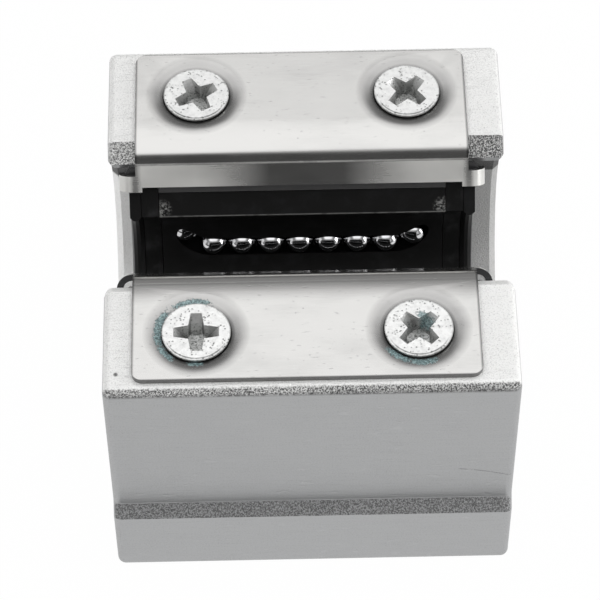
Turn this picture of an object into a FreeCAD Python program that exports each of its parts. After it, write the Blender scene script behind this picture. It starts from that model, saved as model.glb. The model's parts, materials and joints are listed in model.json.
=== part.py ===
"""Open linear bearing block for a 10 mm supported shaft.

An aluminium casing carries an open ball bearing in a slotted bore. Two bent stainless plates,
each held by two countersunk screws, hook over the bearing's ends with their ears, so that the
bearing can neither slide out nor turn. Three closed ball tracks run in the black retainer.

Frame: millimetres, origin at the middle of the mounting face, +X along the shaft,
+Z from the mounting face towards the slot. The shaft's angle phi is measured round the shaft
line from +Z towards +Y, so phi = 0 is the middle of the slot.
"""
import FreeCAD, Part
import math
import os

# --- Casing ---------------------------------------------------------------------------------
block_length = 32.0          # along the shaft
flange_width = 36.0          # across the foot
flange_height = 7.4          # side of the foot, up to its sloping step
step_rise = 0.8              # height of the sloping step
side_inset = 1.0             # how far the upper side lies inside the foot
edge_radius = 0.8            # long edges of the casing
end_edge_radius = 0.65       # edges round both end faces
step_root_radius = 0.25      # where the sloping step meets the upper side
shaft_height = 15.0          # mounting face to the shaft line
land_rise = 9.0              # shaft line to the two lands beside the slot
land_chamfer = 1.3           # between each land and the slot
bore_mouth_chamfer = 0.5     # both ends of the bearing seat
mount_inset_x = 6.0          # mounting holes to the casing's ends
mount_inset_y = 5.5          # mounting holes to the foot's sides
mount_drill = 4.2            # core of an M5 thread
mount_depth = 10.0
mount_mouth_chamfer = 0.3
drill_point_angle = 118.0

# --- Bearing --------------------------------------------------------------------------------
shaft_diameter = 10.0
bearing_diameter = 19.0
bearing_inset = 1.75         # bearing's end to the casing's end
slot_angle = 80.0            # opening of the bearing, about the shaft line
bearing_shift = -0.35        # the bearing and its plates sit a little off the casing's middle
seat_clearance = 0.02        # radial, bearing in its seat
sleeve_chamfer = 0.45
sleeve_mouth_chamfer = 0.25
retainer_inset = 2.65        # retainer's end to the bearing's end
retainer_wall_gap = 0.3      # retainer's inside to the shaft
retainer_fit = 0.05          # radial, retainer in the sleeve
retainer_edge_break = 0.08   # along the slot
ring_length = 1.4            # retaining ring, along the shaft
ring_wall_gap = 0.4          # ring's inside to the shaft
ring_groove_depth = 0.6
seal_length = 0.9
seal_wall_gap = 0.05         # seal lip to the shaft
seal_fit = 0.03
axial_gap = 0.05             # between retainer, ring, seal and their seats

# --- Ball tracks ----------------------------------------------------------------------------
ball_diameter = 2.381        # 3/32 inch
ball_gap = 0.01              # between neighbouring balls
race_gap = 0.01              # ball to its raceway in the sleeve
track_gap = 0.04             # ball to the walls of its track
track_inset = 4.2            # straight part of a track to the retainer's end
return_lift = 1.1            # how much further out the unloaded row runs
turn_bulge = 0.5             # middle of a turn, outside the straight way between its rows
relief_margin = 11.0         # sleeve's relief for the turns, past the first row, degrees
turn_overlap = 0.5           # the retainer's track cuts run past each other by this much
loaded_row_angle = 112.5     # first loaded row, about the shaft line
row_turn = 45.0              # angle from a loaded row back to its unloaded row
circuit_turn = 90.0          # from one track to the next
ball_roll = -0.25            # how far the balls have rolled along their tracks
circuit_names = ("back", "bottom", "front")

# --- Plates and screws ----------------------------------------------------------------------
sheet = 0.5
plate_inset = 0.85           # plate's end to the bearing's end
plate_margin = 0.95          # plate's outer edge to the casing's side
plate_corner_radius = 0.9
bend_start_gap = 0.1         # start of the bend to the land's chamfer
bend_radius = 2.0            # outside of the bend into the slot
flange_gap = 0.72            # bent flange to the sleeve's cut face, which it follows
flange_run = 2.36            # straight part of the bent flange
ear_start = 1.45             # along the flange, from the end of the bend
ear_width = 1.3
ear_bend_radius = 1.2        # outside
ear_depth = 2.2
ear_gap = 0.03               # ear to the bearing's end
ear_corner_radius = 0.4
screw_inset = 4.85           # screws to the plate's end
screw_shift = 0.1            # the screws' middle against the middle of the bearing
head_diameter = 5.3
head_rim = 0.15
head_stand = 0.05            # head's top above the plate
screw_core = 2.4             # thread drawn at its root diameter
screw_tap_gap = 0.05         # core to the tapped hole
screw_length = 6.5
screw_point = 0.4
screw_neck_gap = 0.15        # screw's core to the hole in the plate
dimple_diameter = 7.6
dimple_gap = 0.03            # head to plate, and plate to casing
recess_span = 3.5            # cross recess, tip to tip at the top
recess_tip_width = 0.85
recess_root = 0.62           # where two arms meet, from the screw's middle, along X and Y
recess_depth = 1.5
recess_taper = 0.45          # size of the recess at its bottom, as a share of its top
recess_turn = {"front_left": 0.0, "front_right": 44.0, "back_left": 27.0, "back_right": 47.0}

# --- Worked out from the above --------------------------------------------------------------
block_height = shaft_height + land_rise
mount_pitch_x = block_length - 2 * mount_inset_x
mount_pitch_y = flange_width - 2 * mount_inset_y
bearing_length = block_length - 2 * bearing_inset
retainer_length = bearing_length - 2 * retainer_inset
track_straight = retainer_length - 2 * track_inset
plate_length = bearing_length - 2 * plate_inset
screw_pitch_x = plate_length - 2 * screw_inset
bearing_radius = bearing_diameter / 2
shaft_radius = shaft_diameter / 2
ball_radius = ball_diameter / 2
seat_radius = bearing_radius + seat_clearance
loaded_radius = shaft_radius + ball_radius
return_radius = loaded_radius + return_lift
race_radius = loaded_radius + ball_radius + race_gap
track_radius = ball_radius + track_gap
relief_radius = return_radius + track_radius
retainer_outer = race_radius - retainer_fit
retainer_inner = shaft_radius + retainer_wall_gap
slot_half = math.radians(slot_angle / 2)
bend_angle = 90 - slot_angle / 2
bend_rise = land_rise + sheet - bend_radius
bend_start = ((bend_rise * math.sin(slot_half) + bend_radius - sheet - flange_gap)
              / math.cos(slot_half))
land_edge = bend_start + bend_start_gap
neck_half = land_edge - land_chamfer
body_half = flange_width / 2 - side_inset
plate_top = block_height + sheet
plate_edge = body_half - plate_margin
screw_line = (land_edge + plate_edge) / 2
head_radius = head_diameter / 2
overrun = 5.0                # cutters reach this far past what they cut
tight = 1e-6                 # places closer than this are the same
x_axis = FreeCAD.Vector(1, 0, 0)
z_axis = FreeCAD.Vector(0, 0, 1)


def vec(x, y, z):
    return FreeCAD.Vector(x, y, z)


def line(start, end):
    return Part.LineSegment(start, end).toShape()


def arc(start, middle, end):
    return Part.Arc(start, middle, end).toShape()


def around_shaft(x, radius, phi):
    """Point at a distance and an angle (degrees) from the shaft line."""
    angle = math.radians(phi)
    return vec(x, radius * math.sin(angle), shaft_height + radius * math.cos(angle))


def cylinder_x(radius, low, high, y=0.0, z=shaft_height):
    """Cylinder along X between two stations."""
    return Part.makeCylinder(radius, high - low, vec(low, y, z), x_axis)


def box(low, high):
    size = high - low
    return Part.makeBox(size.x, size.y, size.z, low)


def turned_x(section, start=0, sweep=360):
    """Turn a closed section, given as (x, radius) corners, round the shaft line.

    It is turned from phi = start through sweep degrees.
    """
    corners = [vec(x, 0, shaft_height + radius) for x, radius in section]
    face = Part.Face(Part.makePolygon(corners + corners[:1]))
    face.rotate(vec(0, 0, shaft_height), x_axis, -start - sweep)
    return face.revolve(vec(0, 0, shaft_height), x_axis, sweep)


def turned_z(section, x, y, z):
    """Turn a closed wire in the XZ plane, drawn about the Z axis, and place it."""
    solid = Part.Face(section).revolve(vec(0, 0, 0), z_axis, 360)
    solid.translate(vec(x, y, z))
    return solid


def slot_wedge():
    """The slot of a bearing piece: the sector round phi = 0, wider and longer than the bearing."""
    reach = bearing_radius + overrun
    side = reach * math.tan(slot_half)
    low = bearing_shift - bearing_length / 2 - overrun
    corners = [
        vec(low, 0, shaft_height),
        vec(low, side, shaft_height + reach),
        vec(low, -side, shaft_height + reach),
    ]
    face = Part.Face(Part.makePolygon(corners + corners[:1]))
    return face.extrude(vec(bearing_length + 2 * overrun, 0, 0))


def checked(shape, name):
    """One clean solid, or a clear error."""
    shape = shape.removeSplitter()
    if not shape.isValid() or len(shape.Solids) != 1:
        raise ValueError(f"{name}: {len(shape.Solids)} solids, valid {shape.isValid()}")
    return shape.Solids[0]


# --- Casing ---------------------------------------------------------------------------------
def casing_outline():
    """Cross-section of the casing without its bore: a foot, a sloping step and the body."""
    low = -block_length / 2
    foot = flange_width / 2
    step_top = flange_height + step_rise
    slant = edge_radius * (1 - math.sqrt(0.5))
    half = [
        (line, (0, 0), (foot - edge_radius, 0)),
        (arc, (foot - edge_radius, 0), (foot - slant, slant), (foot, edge_radius)),
        (line, (foot, edge_radius), (foot, flange_height)),
        (line, (foot, flange_height), (body_half, step_top)),
        (line, (body_half, step_top), (body_half, block_height - edge_radius)),
        (arc, (body_half, block_height - edge_radius),
         (body_half - slant, block_height - slant), (body_half - edge_radius, block_height)),
        (line, (body_half - edge_radius, block_height), (0, block_height)),
    ]
    edges = []
    for side in (1, -1):
        for maker, *points in half:
            edges.append(maker(*[vec(low, side * y, z) for y, z in points]))
    return Part.Wire(Part.__sortEdges__(edges))


def mounting_hole(x, y):
    """Blind tapped hole from the mounting face, with a drill point and an eased mouth."""
    radius = mount_drill / 2
    point = radius / math.tan(math.radians(drill_point_angle / 2))
    mouth = radius + mount_mouth_chamfer
    corners = [(0, -overrun), (mouth, -overrun), (mouth, 0), (radius, mount_mouth_chamfer),
               (radius, mount_depth), (0, mount_depth + point)]
    points = [vec(r, 0, z) for r, z in corners]
    return turned_z(Part.makePolygon(points + points[:1]), x, y, 0)


def plate_screw_places():
    """Name and place of each plate screw."""
    places = {}
    for row, y in (("front", -screw_line), ("back", screw_line)):
        for end, x in (("left", -screw_pitch_x / 2), ("right", screw_pitch_x / 2)):
            places[f"{row}_{end}"] = (x + bearing_shift + screw_shift, y)
    return places


def dimple_wire(gap, pressed=True):
    """Section of a screw's dimple, its surface gap below the plate's top, closed far above it.

    A pressed surface dips in an arc from the flat plate, and a drilled one in a cone. Both run
    on as a 45 degree cone, on which the screw's head seats.
    """
    outer = dimple_diameter / 2
    cone_z = head_stand - head_rim - dimple_gap - head_radius
    knee = head_radius - head_rim
    foot = screw_core / 2 + screw_neck_gap
    drop = cone_z + knee
    half_turn = math.atan2(-drop, outer - knee)
    arc_radius = math.hypot(outer - knee, drop) / 2 / math.sin(half_turn)
    middle = vec(outer - arc_radius * math.sin(half_turn), 0,
                 -arc_radius * (1 - math.cos(half_turn)) - gap)
    top = overrun
    points = [vec(0, 0, top), vec(outer, 0, top), vec(outer, 0, -gap),
              vec(knee, 0, drop - gap), vec(foot, 0, cone_z + foot - gap),
              vec(0, 0, cone_z + foot - gap)]
    dip = arc(points[2], middle, points[3]) if pressed else line(points[2], points[3])
    edges = [line(points[0], points[1]), line(points[1], points[2]), dip,
             line(points[3], points[4]), line(points[4], points[5]), line(points[5], points[0])]
    return Part.Wire(edges)


def casing():
    low = -block_length / 2
    solid = Part.Face(casing_outline()).extrude(vec(block_length, 0, 0))
    roots = [edge for edge in solid.Edges
             if abs(edge.Length - block_length) < tight
             and abs(edge.CenterOfMass.z - flange_height - step_rise) < tight]
    solid = solid.makeFillet(step_root_radius, roots)
    neck = box(vec(low - overrun, -neck_half, shaft_height),
               vec(-low + overrun, neck_half, block_height + overrun))
    solid = solid.cut(neck)
    rims = [edge for edge in solid.Edges
            if abs(edge.Length - block_length) < tight
            and abs(abs(edge.CenterOfMass.y) - neck_half) < tight
            and abs(edge.CenterOfMass.z - block_height) < tight]
    solid = solid.makeChamfer(land_chamfer, rims)
    ends = [edge for edge in solid.Edges
            if edge.BoundBox.XLength < tight
            and edge.BoundBox.ZMax > 0
            and not (abs(edge.CenterOfMass.y) < neck_half + tight
                     and edge.CenterOfMass.z > edge_radius)]
    solid = solid.makeFillet(end_edge_radius, ends)
    mouth = seat_radius + bore_mouth_chamfer
    seat = turned_x([
        (low - overrun, 0), (-low + overrun, 0), (-low + overrun, mouth), (-low, mouth),
        (-low - bore_mouth_chamfer, seat_radius), (low + bore_mouth_chamfer, seat_radius),
        (low, mouth), (low - overrun, mouth),
    ])
    solid = solid.cut(seat)
    for x in (-mount_pitch_x / 2, mount_pitch_x / 2):
        for y in (-mount_pitch_y / 2, mount_pitch_y / 2):
            solid = solid.cut(mounting_hole(x, y))
    for x, y in plate_screw_places().values():
        drilled = dimple_wire(sheet + dimple_gap, pressed=False)
        solid = solid.cut(turned_z(drilled, x, y, plate_top))
        tapped = Part.makeCylinder(screw_core / 2 + screw_tap_gap, screw_length + screw_point,
                                   vec(x, y, plate_top - screw_length - screw_point))
        solid = solid.cut(tapped)
    return checked(solid, "casing")


# --- Plates and screws ----------------------------------------------------------------------
def bent_strip(edge_y):
    """Side view of the back plate: flat on the land, bent down into the slot."""
    turn = math.radians(bend_angle)
    along = vec(0, -math.cos(turn), -math.sin(turn))
    centre_z = plate_top - bend_radius

    def on_bend(radius, angle):
        return vec(0, bend_start - radius * math.sin(angle), centre_z + radius * math.cos(angle))

    inner = bend_radius - sheet
    top_lip = on_bend(bend_radius, turn) + along * flange_run
    low_lip = on_bend(inner, turn) + along * flange_run
    edges = [
        line(vec(0, edge_y, plate_top), vec(0, bend_start, plate_top)),
        arc(on_bend(bend_radius, 0), on_bend(bend_radius, turn / 2), on_bend(bend_radius, turn)),
        line(on_bend(bend_radius, turn), top_lip),
        line(top_lip, low_lip),
        line(low_lip, on_bend(inner, turn)),
        arc(on_bend(inner, turn), on_bend(inner, turn / 2), on_bend(inner, 0)),
        line(vec(0, bend_start, block_height), vec(0, edge_y, block_height)),
        line(vec(0, edge_y, block_height), vec(0, edge_y, plate_top)),
    ]
    return Part.Wire(edges)


def ear(end):
    """Tab at one end of the flange, bent down in front of the bearing's end."""
    turn = math.radians(bend_angle)
    along = vec(0, -math.cos(turn), -math.sin(turn))
    outward = vec(0, -math.sin(turn), math.cos(turn))
    root = vec(0, bend_start, plate_top - bend_radius) + outward * bend_radius
    root = root + along * ear_start
    outer_x = bearing_length / 2 + ear_gap + sheet
    bend_x = outer_x - ear_bend_radius
    inner = ear_bend_radius - sheet
    base_x = plate_length / 2 - sheet

    def place(x, depth):
        return root + vec(bearing_shift + end * x, 0, 0) - outward * depth

    def on_bend(radius, angle):
        return place(bend_x + radius * math.sin(angle),
                     ear_bend_radius - radius * math.cos(angle))

    quarter = math.radians(90)
    edges = [
        line(place(base_x, 0), place(bend_x, 0)),
        arc(on_bend(ear_bend_radius, 0), on_bend(ear_bend_radius, quarter / 2),
            on_bend(ear_bend_radius, quarter)),
        line(place(outer_x, ear_bend_radius), place(outer_x, ear_depth)),
        line(place(outer_x, ear_depth), place(outer_x - sheet, ear_depth)),
        line(place(outer_x - sheet, ear_depth), place(outer_x - sheet, ear_bend_radius)),
        arc(on_bend(inner, quarter), on_bend(inner, quarter / 2), on_bend(inner, 0)),
        line(place(bend_x, sheet), place(base_x, sheet)),
        line(place(base_x, sheet), place(base_x, 0)),
    ]
    tab = Part.Face(Part.Wire(edges)).extrude(along * ear_width)
    corners = [edge for edge in tab.Edges
               if abs(edge.Length - sheet) < tight
               and abs(edge.CenterOfMass.x - bearing_shift - end * (outer_x - sheet / 2)) < tight]
    return tab.makeFillet(ear_corner_radius, corners)


def retaining_plate(side):
    """Bent stainless plate on one land: side is 1 for the back plate and -1 for the front."""
    strip = Part.Face(bent_strip(plate_edge)).extrude(vec(plate_length, 0, 0))
    strip.translate(vec(bearing_shift - plate_length / 2, 0, 0))
    corners = [edge for edge in strip.Edges
               if abs(edge.Length - sheet) < tight
               and abs(edge.CenterOfMass.y - plate_edge) < tight
               and edge.BoundBox.ZLength > sheet / 2]
    plate = strip.makeFillet(plate_corner_radius, corners)
    for end in (-1, 1):
        plate = plate.fuse(ear(end))
    plate = plate.removeSplitter()
    for x, y in plate_screw_places().values():
        if y < 0:
            continue
        hole = Part.makeCylinder(dimple_diameter / 2, 2 * overrun,
                                 vec(x, y, block_height - overrun))
        pressed = turned_z(dimple_wire(sheet), x, y, plate_top)
        opened = turned_z(dimple_wire(0), x, y, plate_top)
        plug = Part.makeCylinder(screw_core / 2 + screw_neck_gap, 2 * overrun,
                                 vec(x, y, block_height - overrun))
        cup = pressed.cut(opened).cut(plug)
        plate = plate.cut(hole).fuse(cup)
    if side < 0:
        plate = plate.mirror(vec(0, 0, 0), vec(0, 1, 0))
    return checked(plate, "plate")


def cross_recess():
    """Tapered cross for the driver, its top at z = 0."""
    def outline(scale, z):
        reach = scale * recess_span / 2
        half = recess_tip_width / 2
        arm = [(reach, -half), (reach, half), (recess_root, recess_root)]
        corners = []
        for quarter in range(4):
            angle = math.radians(90 * quarter)
            for x, y in arm:
                corners.append(vec(x * math.cos(angle) - y * math.sin(angle),
                                   x * math.sin(angle) + y * math.cos(angle), z))
        return Part.makePolygon(corners + corners[:1])
    return Part.makeLoft([outline(1.0, 0.0), outline(recess_taper, -recess_depth)], True, True)


def plate_screw(name, x, y):
    """Countersunk screw with a cross recess, its thread drawn at the root diameter."""
    core = screw_core / 2
    cone_end = head_rim + head_radius - core
    corners = [(0, 0), (head_radius, 0), (head_radius, -head_rim), (core, -cone_end),
               (core, -screw_length + screw_point), (core - screw_point, -screw_length),
               (0, -screw_length)]
    points = [vec(r, 0, z) for r, z in corners]
    solid = turned_z(Part.makePolygon(points + points[:1]), 0, 0, 0)
    solid = solid.cut(cross_recess())
    solid.rotate(vec(0, 0, 0), z_axis, recess_turn[name])
    solid.translate(vec(x, y, plate_top + head_stand))
    return checked(solid, "screw")


# --- Ball tracks ----------------------------------------------------------------------------
def track_corners(circuit):
    """Loaded row, middle of the turn and unloaded row of a track, in its middle plane."""
    phi = loaded_row_angle + circuit * circuit_turn
    loaded = around_shaft(bearing_shift, loaded_radius, phi)
    unloaded = around_shaft(bearing_shift, return_radius, phi - row_turn)
    middle = (loaded + unloaded) * 0.5
    outward = x_axis.cross(unloaded - loaded).normalize()
    if outward.dot(middle - around_shaft(bearing_shift, 0, 0)) < 0:
        outward = outward * -1
    return loaded, middle + outward * turn_bulge, unloaded


def turn_point(start, target, way, angle):
    """Point on the quarter circle that leaves a row along X and heads for the turn's middle."""
    across = target - start
    radius = across.Length
    sideways = across * (1 - math.cos(angle))
    return start + x_axis * (way * (track_straight / 2 + radius * math.sin(angle))) + sideways


def track_point(travel, circuit):
    """Centre of a ball that has rolled a given way along a closed track.

    The loaded row lies on the shaft. At its end the track turns back towards the slot and
    climbs outwards, away from the shaft, to the unloaded row.
    """
    loaded, middle, unloaded = track_corners(circuit)
    radius = (middle - loaded).Length
    quarter = radius * math.pi / 2
    lap = 2 * track_straight + 4 * quarter
    travel = travel % lap
    if travel > lap - quarter:
        return turn_point(loaded, middle, -1, (lap - travel) / radius)
    if travel > lap / 2 + track_straight:
        return turn_point(unloaded, middle, -1, (travel - lap / 2 - track_straight) / radius)
    if travel > lap / 2:
        return unloaded + x_axis * (track_straight / 2 - (travel - lap / 2))
    if travel > track_straight + quarter:
        return turn_point(unloaded, middle, 1, (lap / 2 - travel) / radius)
    if travel > track_straight:
        return turn_point(loaded, middle, 1, (travel - track_straight) / radius)
    return loaded + x_axis * (travel - track_straight / 2)


def track_cutters():
    """Tubes for cutting the tracks into the retainer, one for each half of each track."""
    loaded, middle, unloaded = track_corners(0)
    quarter = math.pi / 2
    leave = [turn_point(loaded, middle, 1, quarter * share) for share in (0, 0.5, 1)]
    arrive = [turn_point(unloaded, middle, 1, quarter * share) for share in (1, 0.5, 0)]
    start = loaded - x_axis * turn_overlap
    finish = unloaded - x_axis * turn_overlap
    spine = Part.Wire([line(start, leave[0]), arc(*leave),
                       arc(leave[2], *arrive[1:]), line(arrive[2], finish)])
    ring = Part.Wire(Part.Circle(start, x_axis, track_radius).toShape())
    right = spine.makePipeShell([ring], True, False, 2)     # 2 rounds the corner at the turn
    tubes = []
    for circuit in range(len(circuit_names)):
        for half in (right, right.mirror(vec(bearing_shift, 0, 0), x_axis)):
            tube = half.copy()
            tube.rotate(vec(0, 0, shaft_height), x_axis, -circuit * circuit_turn)
            tubes.append(tube)
    return tubes


def loaded_slot(circuit):
    """Straight-sided opening that lets the loaded balls reach the sleeve."""
    half = track_straight / 2
    wide = ball_radius + track_gap / 2
    slot = box(vec(bearing_shift - half, -wide, shaft_height + loaded_radius),
               vec(bearing_shift + half, wide, shaft_height + bearing_radius))
    phi = loaded_row_angle + circuit * circuit_turn
    slot.rotate(vec(0, 0, shaft_height), x_axis, -phi)
    return slot


def balls_on_track(circuit):
    """Ball centres along one track, each a ball and a gap from the one before it."""
    pitch = ball_diameter + ball_gap
    loaded = int(track_straight / pitch) + 1
    first = (track_straight - (loaded - 1) * pitch) / 2 + ball_roll
    travels = [first]
    while True:
        here = track_point(travels[-1], circuit)
        low = travels[-1] + pitch / 2
        high = travels[-1] + 2 * pitch
        for _ in range(50):
            middle = (low + high) / 2
            if (track_point(middle, circuit) - here).Length < pitch:
                low = middle
            else:
                high = middle
        start = track_point(travels[0], circuit)
        if (track_point(high, circuit) - start).Length < pitch and len(travels) > loaded:
            break
        travels.append(high)
    centres = [track_point(travel, circuit) for travel in travels]
    return centres[:loaded], centres[loaded:]


def ball(centre):
    """Ball, its seam turned along the track."""
    solid = Part.makeSphere(ball_radius)
    solid.rotate(vec(0, 0, 0), vec(0, 1, 0), 90)
    solid.translate(centre)
    return solid


# --- Bearing --------------------------------------------------------------------------------
def bearing_ring(outer, inner, low, high):
    """Slotted ring of the bearing between two stations from its middle."""
    solid = turned_x([(bearing_shift + low, outer), (bearing_shift + high, outer),
                      (bearing_shift + high, inner), (bearing_shift + low, inner)])
    return solid.cut(slot_wedge())


ring_low = retainer_length / 2 + axial_gap
ring_high = ring_low + ring_length
seal_low = ring_high + axial_gap
seal_high = seal_low + seal_length


def bearing_sleeve():
    """Hardened outer sleeve: raceway, reliefs for the turns, return channels, ring grooves."""
    half = bearing_length / 2
    turn_low = track_straight / 2
    loaded, middle, _ = track_corners(0)
    turn_high = turn_low + (middle - loaded).Length + track_radius + track_gap
    groove = race_radius + ring_groove_depth
    outer = [
        (-half, bearing_radius - sleeve_chamfer), (-half + sleeve_chamfer, bearing_radius),
        (half - sleeve_chamfer, bearing_radius), (half, bearing_radius - sleeve_chamfer),
        (half, race_radius + sleeve_mouth_chamfer), (half - sleeve_mouth_chamfer, race_radius),
    ]
    inner = [(ring_high + axial_gap / 2, race_radius), (ring_high + axial_gap / 2, groove),
             (ring_low - axial_gap / 2, groove), (ring_low - axial_gap / 2, race_radius)]
    mirrored = [(-x, radius) for x, radius in reversed(inner)]
    mouth = [(-half + sleeve_mouth_chamfer, race_radius),
             (-half, race_radius + sleeve_mouth_chamfer)]
    section = [(bearing_shift + x, radius) for x, radius in outer + inner + mirrored + mouth]
    solid = turned_x(section)
    relief_start = loaded_row_angle - row_turn - relief_margin
    for end in (-1, 1):
        corners = [(end * turn_low, loaded_radius), (end * turn_high, loaded_radius),
                   (end * turn_high, relief_radius), (end * turn_low, relief_radius)]
        section = [(bearing_shift + x, radius) for x, radius in corners]
        solid = solid.cut(turned_x(section, relief_start, 360 - 2 * relief_start))
    for circuit in range(len(circuit_names)):
        phi = loaded_row_angle + circuit * circuit_turn - row_turn
        channel = around_shaft(0, return_radius, phi)
        solid = solid.cut(cylinder_x(track_radius, bearing_shift - turn_high,
                                     bearing_shift + turn_high, channel.y, channel.z))
    return checked(solid.cut(slot_wedge()), "bearing_sleeve")


def ball_retainer():
    """Black cage with a closed track for each circuit of balls."""
    half = retainer_length / 2
    solid = bearing_ring(retainer_outer, retainer_inner, -half, half)
    rims = [edge for edge in solid.Edges
            if abs(edge.Length - retainer_length) < tight
            and abs(math.hypot(edge.CenterOfMass.y, edge.CenterOfMass.z - shaft_height)
                    - retainer_inner) < tight]
    solid = solid.makeChamfer(retainer_edge_break, rims)
    for tube in track_cutters():
        solid = solid.cut(tube)
    for circuit in range(len(circuit_names)):
        solid = solid.cut(loaded_slot(circuit))
    return checked(solid, "ball_retainer")


def retaining_ring(end):
    """Spring ring in the sleeve's groove that keeps the retainer in."""
    low, high = sorted((end * ring_low, end * ring_high))
    outer = race_radius + ring_groove_depth - retainer_fit
    return checked(bearing_ring(outer, shaft_radius + ring_wall_gap, low, high), "ring")


def end_seal(end):
    """Wiper at the bearing's end, its lip thinner than its body."""
    outer = race_radius - seal_fit
    lip = shaft_radius + seal_wall_gap
    body = shaft_radius + retainer_wall_gap
    lean = seal_length / 3
    section = [(seal_low, outer), (seal_high, outer), (seal_high, body),
               (seal_high - lean, lip), (seal_high - 2 * lean, lip), (seal_low, body)]
    solid = turned_x([(bearing_shift + end * x, radius) for x, radius in section])
    return checked(solid.cut(slot_wedge()), "seal")


# --- All the pieces -------------------------------------------------------------------------
def build():
    pieces = {
        "casing": casing(),
        "front_plate": retaining_plate(-1),
        "back_plate": retaining_plate(1),
        "bearing_sleeve": bearing_sleeve(),
        "ball_retainer": ball_retainer(),
    }
    for name, (x, y) in plate_screw_places().items():
        pieces[f"plate_screw_{name}"] = plate_screw(name, x, y)
    for side, end in (("left", -1), ("right", 1)):
        pieces[f"retaining_ring_{side}"] = retaining_ring(end)
        pieces[f"end_seal_{side}"] = end_seal(end)
    for circuit, row in enumerate(circuit_names):
        loaded, returning = balls_on_track(circuit)
        for number, centre in enumerate(loaded, start=1):
            pieces[f"ball_{row}_{number}"] = ball(centre)
        pieces[f"return_balls_{row}"] = Part.makeCompound([ball(centre) for centre in returning])
    return pieces


os.makedirs("parts", exist_ok=True)
for piece_name, piece in build().items():
    piece.exportStep(f"parts/{piece_name}.step")
    print(f"{piece_name}: {piece.Volume:.2f} mm3")
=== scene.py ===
"""Open linear bearing block for a 10 mm shaft: finishes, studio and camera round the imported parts.

Each sub-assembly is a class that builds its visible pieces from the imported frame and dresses
them. All lengths are metres in the row's frame: +X along the shaft, +Z away from the
mounting face.
"""

from __future__ import annotations

import json
import logging
import math
from dataclasses import dataclass, field
from enum import Enum
from typing import Any, Mapping, Optional, Union

import bpy
from mathutils import Matrix, Vector

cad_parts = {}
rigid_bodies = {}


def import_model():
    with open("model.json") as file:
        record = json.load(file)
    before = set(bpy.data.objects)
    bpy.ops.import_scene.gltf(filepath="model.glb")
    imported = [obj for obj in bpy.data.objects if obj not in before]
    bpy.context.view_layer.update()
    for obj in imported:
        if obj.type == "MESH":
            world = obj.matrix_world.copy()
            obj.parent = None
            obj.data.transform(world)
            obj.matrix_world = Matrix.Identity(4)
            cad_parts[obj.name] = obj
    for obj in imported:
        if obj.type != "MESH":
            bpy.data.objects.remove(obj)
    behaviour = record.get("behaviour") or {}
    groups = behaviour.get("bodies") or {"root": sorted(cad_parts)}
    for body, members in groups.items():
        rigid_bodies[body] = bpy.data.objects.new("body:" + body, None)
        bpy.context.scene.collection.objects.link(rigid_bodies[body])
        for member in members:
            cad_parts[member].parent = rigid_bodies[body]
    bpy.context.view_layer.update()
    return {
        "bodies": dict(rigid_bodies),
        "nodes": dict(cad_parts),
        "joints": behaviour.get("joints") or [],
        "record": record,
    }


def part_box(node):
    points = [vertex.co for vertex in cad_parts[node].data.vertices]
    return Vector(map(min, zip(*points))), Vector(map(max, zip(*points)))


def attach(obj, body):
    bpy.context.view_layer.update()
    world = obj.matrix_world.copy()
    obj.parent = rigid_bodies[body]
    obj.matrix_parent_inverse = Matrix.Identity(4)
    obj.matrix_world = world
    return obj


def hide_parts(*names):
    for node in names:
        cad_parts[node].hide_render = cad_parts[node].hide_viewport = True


LOG = logging.getLogger("bearing_block")
MM = 0.001
Colour = tuple[float, float, float]


class Place(Enum):
    """Which of the block's two lands a plate or a screw sits on."""

    FRONT = -1
    BACK = 1


class End(Enum):
    """Which end of the bearing a ring or a seal closes."""

    LEFT = -1
    RIGHT = 1


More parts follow.
